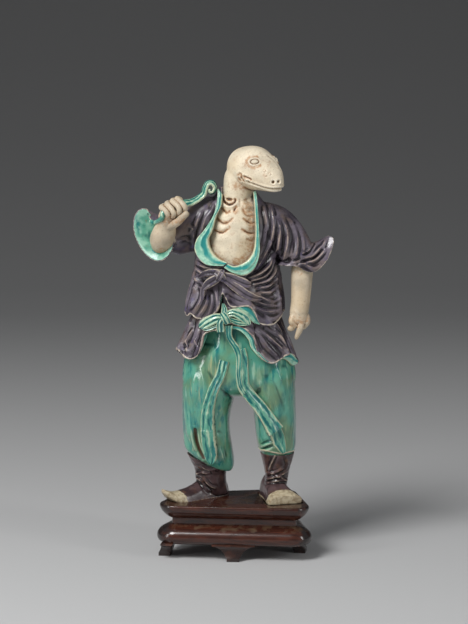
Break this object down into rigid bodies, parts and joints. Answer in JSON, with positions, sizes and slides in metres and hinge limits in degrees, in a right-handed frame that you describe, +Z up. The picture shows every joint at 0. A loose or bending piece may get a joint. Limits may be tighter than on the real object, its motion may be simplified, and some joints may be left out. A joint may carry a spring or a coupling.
{
  "type": "porcelain snake figurine",
  "caption": "Glazed porcelain figure of a standing man with a snake's head, a fist raised to the shoulder, in a tied robe and loose trousers, on a carved wooden stand.",
  "frame": {"origin": "centre of the whole outline seen from above, on the surface that the stand's feet rest on", "axes": "+Z up through the head, -Y the front that the chest faces, +X the viewer's right, the side the head looks to"},
  "size_m": [0.1331, 0.0633, 0.2747],
  "materials": {
    "glazed_porcelain": "turquoise-green and aubergine glazes on a cream body, head, chest and hands left unglazed",
    "carved_wood": "dark red-brown polished hardwood with dusty hollows"
  },
  "bodies": {
    "root": {"snake_figure": "glazed_porcelain", "wooden_stand": "carved_wood"}
  },
  "joints": []
}
